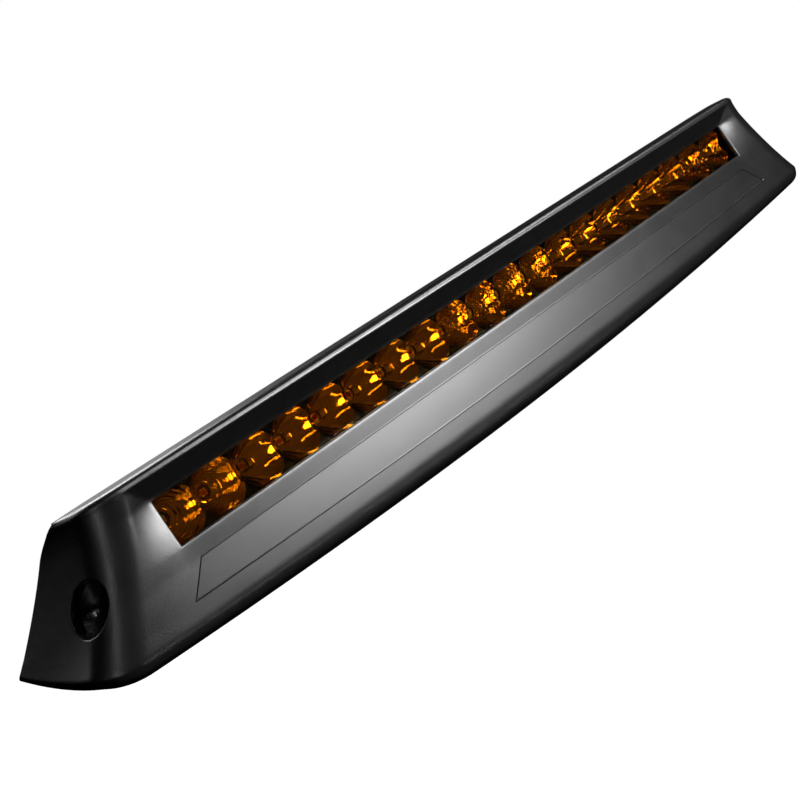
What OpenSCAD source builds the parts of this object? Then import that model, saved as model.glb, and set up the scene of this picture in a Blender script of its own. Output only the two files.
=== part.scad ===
// Flush-mount amber vehicle light bar: a moulded housing with a visor and two swept cheeks,
// and a sealed single-row lamp module hung inside it on two pivot bolts. Millimetres.
// +X runs along the bar, -Y is the way the light leaves, +Z is up. The origin is the centre
// of the bounding box; the "lamp" coordinates used below start at the centre of the LED row.

/* [Lamp row] */
// Distance from one LED to the next
cell_pitch = 25.4; // [20:0.1:32]
// Number of LEDs in the row
cell_count = 20; // [8:1:24]
// Depth from the front of the reflectors to the face of the LEDs
cup_depth = 15.7; // [10:0.1:22]
// Radius of a reflector at its rim
cup_rim_r = 14.3; // [11:0.1:18]
// Radius of the hole round each LED
cup_hole_r = 3.7; // [2.5:0.1:5]

/* [Housing] */
// Length of the lit window
window_w = 502.8; // [300:0.1:640]
// Height of the lit window
window_h = 25.0; // [18:0.1:32]
// Height of the roof above the LED row
roof_z = 26.0; // [20:0.1:34]
// Depth of the lowest point of the lip below the LED row
lip_z = 60.2; // [40:0.1:80]
// How far the visor stands in front of the LED row
nose_y = 28.0; // [22:0.1:40]
// How far the rear tips of the cheeks lie behind the LED row
tip_y = 43.0; // [30:0.1:60]
// Straight front left beyond the window at the top
end_margin = 11.8; // [6:0.1:30]
// How much wider each end is at the bottom than at the top
end_flare = 30.3; // [0:0.1:50]
// Radius of the corner between the front and a cheek
corner_r = 22; // [12:0.5:30]
// Slope of the surface the housing sits on, rise over run
base_slope = 0.3; // [0:0.01:0.6]
// Rise of the lower edge at the ends
base_crown = 8.75; // [0:0.05:20]
// Lean of the rear edge, run over rise
rear_rake = 0.617; // [0:0.001:1]
// Wall thickness
wall = 3.0; // [2:0.1:5]

/* [Mounting] */
// Distance of each mounting bolt from the middle
bolt_x = 294; // [250:0.5:310]
// Radius of the mounting bolt
bolt_r = 3.0; // [2:0.1:5]
// Radius of the tool pocket above the bolt
pocket_r = 9.3; // [7:0.1:12]

/* [Module] */
// Half height of the lamp module
module_hz = 17; // [15:0.5:22]
// Half length of the heat sink extrusion
module_hx = 262; // [200:0.5:300]
// Distance of the pivot axis behind the LED face
pivot_y = 4; // [0:0.5:10]

/* [Hidden] */
$fn = 64;
cheek_turn = 73;
cheek_run = 1 / tan(cheek_turn);
window_hx = window_w / 2;
window_top = window_h / 2 - 0.1;
window_low = -window_h / 2 + 0.1;
fold_z = 42;
panel_z = -21;
base_tilt = atan(base_slope);
row_hx = cell_pitch * cell_count / 2;
cup_4f = (pow(cup_rim_r, 2) - pow(cup_hole_r, 2)) / cup_depth;
cup_y0 = pow(cup_hole_r, 2) / cup_4f;
lamp_origin = [0, (nose_y - tip_y) / 2, (lip_z - roof_z) / 2];
lens_back = -cup_depth;
lens_front = lens_back - 1.9;
seal_front = lens_front - 0.5;
module_front = seal_front - 1.0;
board_face = 0.8;
board_back = 2.4;
sink_face = 3.0;
sink_base = 7.6;
channel_y = 15.6;
channel_back = 17.6;
cap_in = module_hx + 1;
cap_out = cap_in + 5;
boss_out = cap_out + 1;
bracket_in = boss_out + 0.3;
bracket_out = bracket_in + 2.5;
washer_in = bracket_out + 0.3;
washer_out = washer_in + 1.2;
foot_front = -17;
foot_back = -14.5;
foot_x = 275.6;
foot_end = 279.4;
foot_hz = 12.5;
foot_dz = 8;
seat_z = -24;
sleeve_len = 19;
shank_r = bolt_r - 0.3;
shank_len = sleeve_len + 2;
thread_len = 8;
inlet_x = -205;
vent_x = 205;
inlet_z = -2;
end_screws = [[5.3, 12.2], [5.3, -12.2], [14.6, -1.5]];

black = [0.05, 0.05, 0.055];
alloy = [0.16, 0.16, 0.17];
steel = [0.72, 0.73, 0.75];
rubber = [0.03, 0.03, 0.03];
gold = [0.85, 0.62, 0.25];

// ---- shape of the housing ----
function ridge_x(z) = window_hx + end_margin
    + end_flare * pow(max(0, min(1, (22 - z) / (22 + fold_z))), 1.3);
function base_z(x, y) = -lip_z + base_crown * pow(x / 280, 2) + base_slope * (y + 20);
function tip_x() = ridge_x(-30) + corner_r * sin(cheek_turn)
    + (tip_y + nose_y - 1.4 - corner_r * (1 - cos(cheek_turn))) * cheek_run;
function tip_z() = base_z(tip_x(), tip_y);
function rear_y(z) = tip_y - rear_rake * (z - tip_z());

// A station is [level, share of the way down to the base, front y, half width of the flat
// front, y of the outer front plane at the corner, inset of the corner].
outer_stations = [
    [roof_z, 0, -nose_y + 4.6, 257, -nose_y, 4.6],
    [roof_z - 0.6, 0, -nose_y + 2.0, 258, -nose_y, 2.0],
    [roof_z - 2.0, 0, -nose_y + 0.4, 259, -nose_y, 0.4],
    [roof_z - 3.6, 0, -nose_y, 260, -nose_y, 0],
    [roof_z - 4.8, 0, -nose_y + 0.8, 261, -nose_y + 0.4, 0],
    [window_top, 0, -21.8, window_hx + 0.8, -nose_y + 1.4, 0],
    [window_low, 0, -24.9, window_hx + 0.8, -nose_y + 1.4, 0],
    [panel_z, 0, -25.2, window_hx + 0.8, -nose_y + 1.4, 0],
    [panel_z, 0.477, -26.7, window_hx + 8, -nose_y + 1.1, 0],
    [panel_z, 0.72, -27.4, window_hx + 8, -nose_y + 0.6, 0],
    [panel_z, 0.88, -25.9, window_hx + 8, -nose_y + 0.6, 1.5],
    [panel_z, 0.96, -23.4, window_hx + 8, -nose_y + 0.6, 4.0],
    [panel_z, 1, -20, window_hx + 8, -nose_y + 0.6, 7.4]
];
inner_stations = [
    [roof_z - wall, 0, -nose_y + 4.4, 252, -nose_y, wall + 1.4],
    [window_top + 1.6, 0, -19.2, 252, -nose_y + 1.4, wall],
    [window_low, 0, -21.9, 252, -nose_y + 1.4, wall],
    [panel_z, 0, -22.2, 252, -nose_y + 1.4, wall],
    [panel_z, 0.477, -23.7, 252, -nose_y + 1.1, wall],
    [panel_z, 0.72, -24.4, 252, -nose_y + 0.6, wall],
    [panel_z, 0.88, -22.9, 252, -nose_y + 0.6, wall + 1.5],
    [panel_z, 1, -17, 252, -nose_y + 0.6, wall + 7.4],
    [panel_z, 1.3, -17, 252, -nose_y + 0.6, wall + 7.4]
];

function ring_z(s, x, y) = s[0] + s[1] * (base_z(x, y) - s[0]);
function corner_level(s) = s[0] + s[1] * (base_z(293, -20) - s[0]);
function on_ring(s, x, y) = [x, y, ring_z(s, x, y)];
function ring_end(s, back) =
    let (z = s[0] + s[1] * (tip_z() - s[0]), y = rear_y(z) + back,
         rx = ridge_x(s[1] > 0 ? max(corner_level(s), -30 - 6 * (1 - s[1])) : s[0]),
         x = rx + corner_r * sin(cheek_turn) - 0.4 * s[5]
             + (y - s[4] - corner_r * (1 - cos(cheek_turn))) * cheek_run)
    [x, y, z];
function half_ring(s, back) =
    let (rx = ridge_x(corner_level(s)), cy = s[4] + corner_r, r = corner_r - s[5],
         e = ring_end(s, back),
         a = [rx + r * sin(cheek_turn), cy - r * cos(cheek_turn)])
    concat(
        [for (k = [0, 0.25, 0.5, 0.7, 0.87, 1]) on_ring(s, k * s[3], s[2])],
        [for (q = [0:12:60]) on_ring(s, rx + r * sin(q), cy - r * cos(q))],
        [on_ring(s, a[0], a[1])],
        [[(a[0] + e[0]) / 2, (a[1] + e[1]) / 2,
          (ring_z(s, a[0], a[1]) + e[2]) / 2 - 1.2 * s[1] * (s[1] < 1.1 ? 1 : 0)]],
        [e]
    );
function full_ring(s, back) =
    let (h = half_ring(s, back), n = len(h))
    concat([for (i = [n - 1:-1:1]) [-h[i][0], h[i][1], h[i][2]]], h);

// One closed solid through a list of stations; its top is flat, and its bottom and back are
// strips of flat faces between the left and the right half.
module lofted(stations, back) {
    rings = [for (s = stations) full_ring(s, back)];
    m = len(rings[0]);
    n = len(rings);
    c = (m - 1) / 2;
    sides = [for (i = [0:n - 2]) for (j = [0:m - 2]) each [
        [i * m + j, i * m + j + 1, (i + 1) * m + j],
        [i * m + j + 1, (i + 1) * m + j + 1, (i + 1) * m + j]]];
    rear = [for (i = [0:n - 2]) each [
        [i * m, (i + 1) * m, i * m + m - 1],
        [i * m + m - 1, (i + 1) * m, (i + 1) * m + m - 1]]];
    top = [[for (j = [m - 1:-1:0]) j]];
    low = [for (j = [0:c - 2]) each [
        [(n - 1) * m + j, (n - 1) * m + j + 1, (n - 1) * m + m - 1 - j],
        [(n - 1) * m + j + 1, (n - 1) * m + m - 2 - j, (n - 1) * m + m - 1 - j]]];
    middle = [[(n - 1) * m + c - 1, (n - 1) * m + c, (n - 1) * m + c + 1]];
    polyhedron(points = [for (r = rings) each r], faces = concat(sides, rear, top, low, middle));
}

// ---- helpers ----
module lamp() {
    translate(lamp_origin) children();
}
module box(low, high) {
    translate(low) cube(high - low);
}
module along_x(x0, x1, y, z, r) {
    translate([x0, y, z]) rotate([0, 90, 0]) cylinder(r = r, h = x1 - x0);
}
module along_y(y0, y1, x, z, r) {
    translate([x, y0, z]) rotate([-90, 0, 0]) cylinder(r = r, h = y1 - y0);
}
// Places a piece drawn on +Z onto a mounting bolt's axis, with z = 0 on the bolt's seat.
module at_bolt(side) {
    translate([side * bolt_x, 0, seat_z]) rotate([base_tilt, 0, 0]) children();
}
module bead(x0, z0, x1, z1) {
    run = norm([x1 - x0, z1 - z0]);
    translate([x0, 0, z0]) rotate([0, -atan2(z1 - z0, x1 - x0), 0])
        translate([-0.3, -40, -0.35]) cube([run + 0.6, 40, 0.7]);
}
function panel_low(x) = -39.8 + 4.2 * pow(x / 260.5, 2);

// ---- housing ----
module panel_outline() {
    // A bead 0.4 mm proud of the lip: straight on top, bowed below.
    intersection() {
        union() {
            bead(-246.5, -21, 246.5, -21);
            for (s = [-1, 1]) bead(s * 246.5, -21, s * 260.5, panel_low(260.5));
            for (i = [-5:4]) bead(i * 52.1, panel_low(i * 52.1),
                                  (i + 1) * 52.1, panel_low((i + 1) * 52.1));
        }
        translate([0, 0, -21]) rotate([-4.6, 0, 0]) translate([-300, -25.6, -40])
            cube([600, 1.5, 60]);
    }
}
module egg() {
    // An oval, blunt below and narrower above, with its long axis along y.
    polygon([for (q = [0:10:350]) [10.7 * cos(q) * (1 - 0.04 * sin(q)), 13.3 * sin(q)]]);
}
module cheek_opening(side) {
    // The egg-shaped way in for a spanner, leaning inwards, where the cheek turns the corner.
    translate([side * 297.5, -10.4, -13.2]) rotate([0, 0, side * 54]) rotate([-8, 0, 0])
        rotate([0, side * -48.6, 0]) rotate([90, 0, 0])
            translate([0, 0, -9]) linear_extrude(30) egg();
}
module housing_shell() {
    color(black) lamp() difference() {
        union() {
            difference() {
                lofted(outer_stations, 0);
                lofted(inner_stations, 12);
            }
            panel_outline();
            intersection() {
                lofted(outer_stations, 0);
                union() {
                    for (s = [-1, 1]) at_bolt(s) {
                        translate([0, 0, -40]) cylinder(r = 8, h = 40);
                        translate([0, 0, -3]) cylinder(r = pocket_r + 2.2, h = 30);
                    }
                    for (s = [-1, 1]) for (z = [-foot_dz, foot_dz])
                        along_y(-26, foot_front, s * foot_x, z, 4.6);
                }
            }
        }
        box([-window_hx, -60, window_low], [window_hx, 10, window_top]);
        box([-cap_out - 2.2, -20.3, -module_hz - 1.6], [cap_out + 2.2, 60, module_hz + 1.6]);
        translate([0, -22.4, window_low]) rotate([45, 0, 0])
            translate([-window_hx, -6, -1.2]) cube([window_w, 6, 2.4]);
        for (s = [-1, 1]) at_bolt(s) {
            cylinder(r = pocket_r, h = 24);
            translate([0, 0, -50]) cylinder(r = 4.6, h = 60);
        }
        for (s = [-1, 1]) cheek_opening(s);
        for (s = [-1, 1]) for (z = [-foot_dz, foot_dz])
            along_y(-23, foot_front + 1, s * foot_x, z, 2.8);
    }
}
module mount_sleeve(side) {
    color(steel) lamp() at_bolt(side) translate([0, 0, -sleeve_len]) difference() {
        cylinder(r = 4.6, h = sleeve_len);
        translate([0, 0, -1]) cylinder(r = bolt_r + 0.1, h = sleeve_len + 2);
    }
}
module mount_bolt(side) {
    color(steel) lamp() at_bolt(side) translate([0, 0, 0.2]) {
        difference() {
            union() {
                cylinder(r = 6.5, h = 1.6);
                cylinder(r = 10 / sqrt(3), h = 6.6, $fn = 6);
                translate([0, 0, -shank_len]) cylinder(r = shank_r, h = shank_len + 1);
                translate([0, 0, -shank_len - thread_len]) cylinder(r = bolt_r, h = thread_len);
            }
            translate([0, 0, 5.4]) cylinder(r = 3.2, h = 3);
        }
    }
}

// ---- brackets that carry the module ----
module bracket(side) {
    color(alloy) lamp() mirror([side < 0 ? 1 : 0, 0, 0]) difference() {
        union() {
            box([bracket_in, foot_front, -foot_hz], [bracket_out, 14, foot_hz]);
            box([bracket_in, foot_front, -foot_hz], [foot_end, foot_back, foot_hz]);
        }
        along_x(bracket_in - 1, bracket_out + 1, pivot_y, 0, 3.05);
        for (z = [-foot_dz, foot_dz]) along_y(foot_front - 1, foot_back + 1, foot_x, z, 2.25);
    }
}
module bracket_screws(side) {
    color(steel) lamp() for (z = [-foot_dz, foot_dz]) difference() {
        union() {
            along_y(-22.5, foot_back, side * foot_x, z, 2.0);
            along_y(foot_back, foot_back + 2.4, side * foot_x, z, 3.6);
        }
        along_y(foot_back + 1, foot_back + 4, side * foot_x, z, 1.5);
    }
}
module thread_inserts(side) {
    color([0.78, 0.62, 0.3]) lamp() for (z = [-foot_dz, foot_dz]) difference() {
        along_y(-23, foot_front, side * foot_x, z, 2.8);
        along_y(-24, foot_front + 1, side * foot_x, z, 2.0);
    }
}

// ---- lamp module ----
module slab(y0, z0, y1, z1) {
    translate([y0, z0]) square([y1 - y0, z1 - z0]);
}
module sink_profile() {
    for (s = [-1, 1]) mirror([0, s < 0 ? 1 : 0]) {
        slab(module_front, module_hz - 2, sink_base, module_hz);
        slab(module_front, module_hz - 3.4, seal_front, module_hz - 1);
    }
    slab(sink_face, -module_hz, sink_base, module_hz);
    slab(sink_base - 1, 6, channel_back, 8);
    slab(sink_base - 1, -11, channel_back, -9);
    slab(channel_y, -11, channel_back, 8);
    slab(sink_base - 1, 15.6, 11, module_hz);
    slab(sink_base - 1, 11, 15, 12.4);
    slab(sink_base - 1, -14.4, 29, -13);
    slab(sink_base - 1, -module_hz, 30, -15.6);
    slab(channel_back - 1, 2, 21, 3.4);
    slab(channel_back - 1, -2.4, 24, -1);
    slab(channel_back - 1, -6.8, 26.5, -5.4);
    slab(channel_back - 1, -11, 28.5, -9.6);
    translate([end_screws[2][0], end_screws[2][1]]) circle(r = 2.6);
}
module across_x(x0, x1) {
    // Turns an outline drawn in y and z into a bar along X.
    translate([x0, 0, 0]) rotate([90, 0, 90]) linear_extrude(x1 - x0) children();
}
module heat_sink() {
    color(alloy) lamp() difference() {
        across_x(-module_hx, module_hx) sink_profile();
        for (x = [inlet_x, vent_x])
            box([x - 11, channel_back, -9.2], [x + 11, 40, 8]);
        for (e = end_screws) for (s = [-1, 1])
            along_x(s > 0 ? module_hx - 9 : -module_hx - 1, s > 0 ? module_hx + 1 : -module_hx + 9,
                    e[0], e[1], 1.5);
        along_y(channel_y - 1, 18, inlet_x, inlet_z, 4);
        along_y(channel_y - 1, 18, vent_x, inlet_z, 3);
        box([-126, channel_y - 3.6, -5], [46, channel_y, 4]);
    }
}
module cap_outline() {
    polygon([[module_front, -module_hz], [30, -module_hz], [30, -13], [28.5, -9.6],
             [21, 3.4], [15, 12.4], [11, module_hz], [module_front, module_hz]]);
}
module end_cap(side) {
    color(alloy) lamp() mirror([side < 0 ? 1 : 0, 0, 0]) difference() {
        union() {
            across_x(cap_in, cap_out) cap_outline();
            along_x(cap_out - 1, boss_out, pivot_y, 0, 8);
        }
        along_x(cap_in - 1, boss_out + 1, pivot_y, 0, 3);
        for (e = end_screws) along_x(cap_in - 1, cap_out + 1, e[0], e[1], 1.6);
    }
}
module end_gasket(side) {
    color(rubber) lamp() mirror([side < 0 ? 1 : 0, 0, 0]) difference() {
        across_x(module_hx, cap_in) cap_outline();
        for (e = end_screws) along_x(module_hx - 1, cap_in + 1, e[0], e[1], 1.6);
    }
}
module end_cap_screws(side) {
    color(steel) lamp() mirror([side < 0 ? 1 : 0, 0, 0]) for (e = end_screws) difference() {
        union() {
            along_x(module_hx - 8, cap_out + 0.2, e[0], e[1], 1.5);
            along_x(cap_out, cap_out + 1, e[0], e[1], 2.4);
        }
        along_x(cap_out + 0.5, cap_out + 2, e[0], e[1], 1.0);
    }
}
module pivot_bolt(side) {
    color(steel) lamp() mirror([side < 0 ? 1 : 0, 0, 0]) union() {
        along_x(cap_in, washer_out, pivot_y, 0, 3);
        translate([washer_out, pivot_y, 0]) rotate([0, 90, 0])
            cylinder(r = 10 / sqrt(3), h = 4, $fn = 6);
    }
}
module pivot_washer(side) {
    color(steel) lamp() mirror([side < 0 ? 1 : 0, 0, 0]) difference() {
        along_x(washer_in, washer_out, pivot_y, 0, 6);
        along_x(washer_in - 1, washer_out + 1, pivot_y, 0, 3);
    }
}
module lens() {
    color([0.9, 0.6, 0.15, 0.5]) lamp()
        box([-module_hx + 0.5, lens_front, -14.8], [module_hx - 0.5, lens_back, 14.8]);
}
module lens_seal() {
    color(rubber) lamp() difference() {
        box([-module_hx + 0.5, seal_front, -14.8], [module_hx - 0.5, lens_front, 14.8]);
        box([-module_hx + 3, seal_front - 1, -13.6], [module_hx - 3, lens_front + 1, 13.6]);
    }
}
module cup() {
    // One reflector bowl, opening towards -Y, with its flat top and bottom 12.6 mm from the axis.
    intersection() {
        rotate([90, 0, 0]) rotate_extrude() polygon(concat(
            [[0, -2], [cup_hole_r, -2]],
            [for (h = [0, 1.2, 3, 5.5, 8.5, 12, cup_depth + 0.2]) [sqrt(cup_4f * (h + cup_y0)), h]],
            [[0, cup_depth + 0.2]]
        ));
        box([-30, -cup_depth - 1, -12.6], [30, 3, 12.6]);
    }
}
module reflector(first, last) {
    color(gold) lamp() difference() {
        box([(first - 1) * cell_pitch - row_hx, lens_back, -13.6],
            [last * cell_pitch - row_hx, board_face, 13.6]);
        for (i = [first:last]) translate([(i - 0.5) * cell_pitch - row_hx, 0, 0]) cup();
    }
}
module led_board() {
    color([0.06, 0.06, 0.06]) lamp() box([-253, board_face, -11], [253, board_back, 11]);
}
module led_packages() {
    color([0.8, 0.5, 0.2]) lamp() for (i = [1:cell_count])
        translate([(i - 0.5) * cell_pitch - row_hx, 0, 0]) box([-1.7, 0.1, -1.7], [1.7, board_face, 1.7]);
}
module led_domes() {
    color([0.9, 0.7, 0.3, 0.6]) lamp() for (i = [1:cell_count])
        translate([(i - 0.5) * cell_pitch - row_hx, 0.1, 0]) intersection() {
            sphere(r = 1.4);
            box([-2, -2, -2], [2, 0, 2]);
        }
}
module thermal_pad() {
    color([0.6, 0.6, 0.62]) lamp() box([-252, board_back, -10.5], [252, sink_face, 10.5]);
}

// ---- driver, in the closed channel behind the LEDs ----
module driver_board() {
    color([0.05, 0.25, 0.12]) lamp()
        box([-125, channel_y - 1.6, -4.5], [45, channel_y, 3.5]);
}
module driver_inductors() {
    color([0.1, 0.1, 0.1]) lamp() for (x = [-110, -70, -30, 10])
        along_y(channel_y - 6.1, channel_y - 1.6, x, -0.5, 3.5);
}
module driver_capacitors() {
    color([0.5, 0.42, 0.2]) lamp() for (x = [-90, -50, -10])
        along_y(channel_y - 6.6, channel_y - 1.6, x, -0.5, 2.5);
}
module driver_chips() {
    color([0.08, 0.08, 0.08]) lamp() for (x = [-100, -60, -20, 28])
        box([x - 2, channel_y - 3.2, -2.5], [x + 2, channel_y - 1.6, 1.5]);
}

// ---- inlet and vent on the back ----
module gland_body() {
    color(black) lamp() translate([inlet_x, 0, inlet_z]) difference() {
        union() {
            along_y(channel_y, channel_back, 0, 0, 4);
            translate([0, channel_back, 0]) rotate([-90, 0, 0])
                cylinder(r = 13 / sqrt(3), h = 3.4, $fn = 6);
            along_y(channel_back, channel_back + 8, 0, 0, 4.6);
        }
        along_y(channel_y - 1, channel_back + 10, 0, 0, 2.4);
        along_y(channel_back + 3.4, channel_back + 10, 0, 0, 3.8);
    }
}
module gland_seal() {
    color(rubber) lamp() translate([inlet_x, 0, inlet_z]) difference() {
        along_y(channel_back + 3.4, channel_back + 8, 0, 0, 3.8);
        along_y(channel_back + 2, channel_back + 9, 0, 0, 2.4);
    }
}
module gland_nut() {
    color(black) lamp() translate([inlet_x, 0, inlet_z]) difference() {
        translate([0, channel_back + 3.4, 0]) rotate([-90, 0, 0])
            cylinder(r = 12 / sqrt(3), h = 6.2, $fn = 6);
        along_y(channel_back + 3, channel_back + 8, 0, 0, 4.6);
        along_y(channel_back + 7, channel_back + 12, 0, 0, 3.0);
    }
}
module vent_plug() {
    color(black) lamp() translate([vent_x, 0, inlet_z]) difference() {
        union() {
            along_y(channel_y, channel_back, 0, 0, 3);
            along_y(channel_back, channel_back + 3, 0, 0, 5.5);
        }
        along_y(channel_y - 1, channel_back + 1.5, 0, 0, 1.2);
        for (q = [0:90:270]) rotate([0, q, 0]) along_x(0, 7, channel_back + 1, 0, 0.6);
    }
}

housing_shell();
mount_sleeve(-1);  // mount_sleeve_left
mount_sleeve(1);  // mount_sleeve_right
mount_bolt(-1);  // mount_bolt_left
mount_bolt(1);  // mount_bolt_right
bracket(-1);  // bracket_left
bracket(1);  // bracket_right
bracket_screws(-1);  // bracket_screws_left
bracket_screws(1);  // bracket_screws_right
thread_inserts(-1);  // thread_inserts_left
thread_inserts(1);  // thread_inserts_right
heat_sink();
end_cap(-1);  // end_cap_left
end_cap(1);  // end_cap_right
end_gasket(-1);  // end_gasket_left
end_gasket(1);  // end_gasket_right
end_cap_screws(-1);  // end_cap_screws_left
end_cap_screws(1);  // end_cap_screws_right
pivot_bolt(-1);  // pivot_bolt_left
pivot_bolt(1);  // pivot_bolt_right
pivot_washer(-1);  // pivot_washer_left
pivot_washer(1);  // pivot_washer_right
lens();
lens_seal();
reflector(1, 2);  // reflector_fluted_left
reflector(3, 8);  // reflector_smooth_left
reflector(9, 12);  // reflector_faceted_centre
reflector(13, 18);  // reflector_smooth_right
reflector(19, 20);  // reflector_faceted_right
led_board();
led_packages();
led_domes();
thermal_pad();
driver_board();
driver_inductors();
driver_capacitors();
driver_chips();
gland_body();
gland_seal();
gland_nut();
vent_plug();
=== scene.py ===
"""A black flush-mounted warning light bar with an amber LED row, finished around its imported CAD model.

Shapes are written in millimetres in lamp coordinates: the origin is the centre of the LED row, X runs
along the bar, Y goes into the housing and Z is up. place() turns them into the frame's metres.
"""
import math

import bpy
import numpy as np
from mathutils import Matrix, Vector
from mathutils.bvhtree import BVHTree


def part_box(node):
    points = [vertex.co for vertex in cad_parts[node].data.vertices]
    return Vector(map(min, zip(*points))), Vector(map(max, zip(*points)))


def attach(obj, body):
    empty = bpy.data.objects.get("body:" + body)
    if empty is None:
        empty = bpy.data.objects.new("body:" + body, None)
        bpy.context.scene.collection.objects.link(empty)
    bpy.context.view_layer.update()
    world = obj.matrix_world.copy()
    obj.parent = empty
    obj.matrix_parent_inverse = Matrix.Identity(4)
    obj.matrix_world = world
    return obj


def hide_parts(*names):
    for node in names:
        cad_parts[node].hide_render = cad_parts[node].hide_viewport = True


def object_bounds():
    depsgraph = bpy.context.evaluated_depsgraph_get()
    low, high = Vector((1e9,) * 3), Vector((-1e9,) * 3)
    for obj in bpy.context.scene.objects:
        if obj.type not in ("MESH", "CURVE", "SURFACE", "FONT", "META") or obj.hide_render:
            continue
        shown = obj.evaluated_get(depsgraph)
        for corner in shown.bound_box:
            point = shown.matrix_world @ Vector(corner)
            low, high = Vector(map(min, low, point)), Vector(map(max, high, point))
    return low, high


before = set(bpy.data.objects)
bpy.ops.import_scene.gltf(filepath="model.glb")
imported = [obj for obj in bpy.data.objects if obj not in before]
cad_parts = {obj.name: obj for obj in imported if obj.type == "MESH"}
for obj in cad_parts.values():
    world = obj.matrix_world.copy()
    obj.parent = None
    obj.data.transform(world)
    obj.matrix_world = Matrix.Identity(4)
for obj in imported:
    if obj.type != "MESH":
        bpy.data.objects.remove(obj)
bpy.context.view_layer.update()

MM = 0.001
TINY = 1e-6
CELL_PITCH, CELL_COUNT = 25.4, 20
CUP_DEPTH, CUP_RIM_R, CUP_HOLE_R, CUP_FLAT = 15.7, 14.3, 3.7, 12.6
# The back of the lens lies one bowl depth in front of the LED row.
lens_low, lens_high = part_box("lens")
LAMP = Vector((0, lens_high.y + CUP_DEPTH * MM, (lens_low.z + lens_high.z) / 2))


# ---------------------------------------------------------------- meshes
def place(points):
    """Lamp millimetres to frame metres."""
    return [tuple(LAMP + MM * Vector(p)) for p in points]


def merged(points, faces, digits):
    """Joins points that coincide and drops faces that lose their area; also lists which faces stay."""
    index, kept, renumber = {}, [], []
    for p in points:
        key = tuple(round(float(c), digits) for c in p)
        if key not in index:
            index[key] = len(kept)
            kept.append(p)
        renumber.append(index[key])
    rings, chosen = [], []
    for number, face in enumerate(faces):
        ring = [renumber[i] for i in face]
        ring = [v for i, v in enumerate(ring) if v != ring[i - 1]]
        if len(set(ring)) == len(ring) >= 3:
            rings.append(ring)
            chosen.append(number)
    return kept, rings, chosen


def add_piece(name, points, faces, finish, body, stands_for, sharp, material_numbers=None):
    """A smooth-shaded mesh piece that rides on a body and takes one or more materials."""
    mesh = bpy.data.meshes.new(name)
    mesh.from_pydata(place(points), [], [tuple(f) for f in faces])
    mesh.update()
    mesh.polygons.foreach_set("use_smooth", [True] * len(mesh.polygons))
    mesh.set_sharp_from_angle(angle=math.radians(sharp))
    for material in finish:
        mesh.materials.append(material)
    if material_numbers:
        mesh.polygons.foreach_set("material_index", material_numbers)
    piece = bpy.data.objects.new(name, mesh)
    bpy.context.scene.collection.objects.link(piece)
    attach(piece, body)
    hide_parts(stands_for)


def grid_faces(first, rows, columns, flip=False, keep=lambda r, c: True):
    """Quads of a rows x columns grid of points that starts at index first."""
    faces = []
    for r in range(rows - 1):
        for c in range(columns - 1):
            if keep(r, c):
                a = first + r * columns + c
                quad = [a, a + 1, a + columns + 1, a + columns]
                faces.append(quad[::-1] if flip else quad)
    return faces


def block_border(block):
    """Row and column of each grid point round a block, which is its first and last row and column."""
    r0, r1, c0, c1 = block
    return ([(r0, c) for c in range(c0, c1)] + [(r, c1) for r in range(r0, r1)]
            + [(r1, c) for c in range(c1, c0, -1)] + [(r, c0) for r in range(r1, r0, -1)])


def in_block(block, r, c):
    """Whether the quad after row r and column c lies in a block."""
    r0, r1, c0, c1 = block
    return r0 <= r < r1 and c0 <= c < c1


def add_ring(points, ring):
    """Appends a ring of points and returns their indices."""
    first = len(points)
    points.extend(ring)
    return list(range(first, len(points)))


def loop_faces(loops, flip=False):
    """Quads between successive closed loops of equal length, each a list of point indices."""
    faces = []
    for one, two in zip(loops, loops[1:]):
        for i in range(len(one)):
            j = (i + 1) % len(one)
            quad = [one[i], one[j], two[j], two[i]]
            faces.append(quad[::-1] if flip else quad)
    return faces


# ---------------------------------------------------------------- materials
def new_material(name, **sockets):
    """A node material with one Principled shader, its sockets set by name."""
    material = bpy.data.materials.new(name)
    material.use_nodes = True
    shader = material.node_tree.nodes["Principled BSDF"]
    for socket, value in sockets.items():
        shader.inputs[socket.replace("_", " ")].default_value = value
    return material, material.node_tree, shader


def noise(tree, scale, detail=3.0, rough=0.55, squeeze=None):
    """A noise pattern fixed to the object, in cells per metre, which squeeze scales along each axis."""
    where = tree.nodes.new("ShaderNodeTexCoord").outputs["Object"]
    if squeeze:
        mapping = tree.nodes.new("ShaderNodeMapping")
        mapping.inputs["Scale"].default_value = squeeze
        tree.links.new(where, mapping.inputs["Vector"])
        where = mapping.outputs["Vector"]
    pattern = tree.nodes.new("ShaderNodeTexNoise")
    pattern.inputs["Scale"].default_value = scale
    pattern.inputs["Detail"].default_value = detail
    pattern.inputs["Roughness"].default_value = rough
    tree.links.new(where, pattern.inputs["Vector"])
    return pattern.outputs["Fac"]


def map_range(tree, value, start, end, low, high):
    """A node that maps a value from the range start to end onto the range low to high."""
    node = tree.nodes.new("ShaderNodeMapRange")
    for socket, number in (("From Min", start), ("From Max", end), ("To Min", low), ("To Max", high)):
        node.inputs[socket].default_value = number
    tree.links.new(value, node.inputs["Value"])
    return node


def spread(tree, value, low, high):
    """Maps the middle of a noise value's range onto low to high."""
    return map_range(tree, value, 0.3, 0.7, low, high).outputs["Result"]


def two_tone(tree, value, one, two):
    """Blends two colours by a noise value."""
    ramp = tree.nodes.new("ShaderNodeValToRGB")
    for element, position, colour in zip(ramp.color_ramp.elements, (0.35, 0.65), (one, two)):
        element.position = position
        element.color = (*colour, 1)
    tree.links.new(value, ramp.inputs["Fac"])
    return ramp.outputs["Color"]


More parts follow.
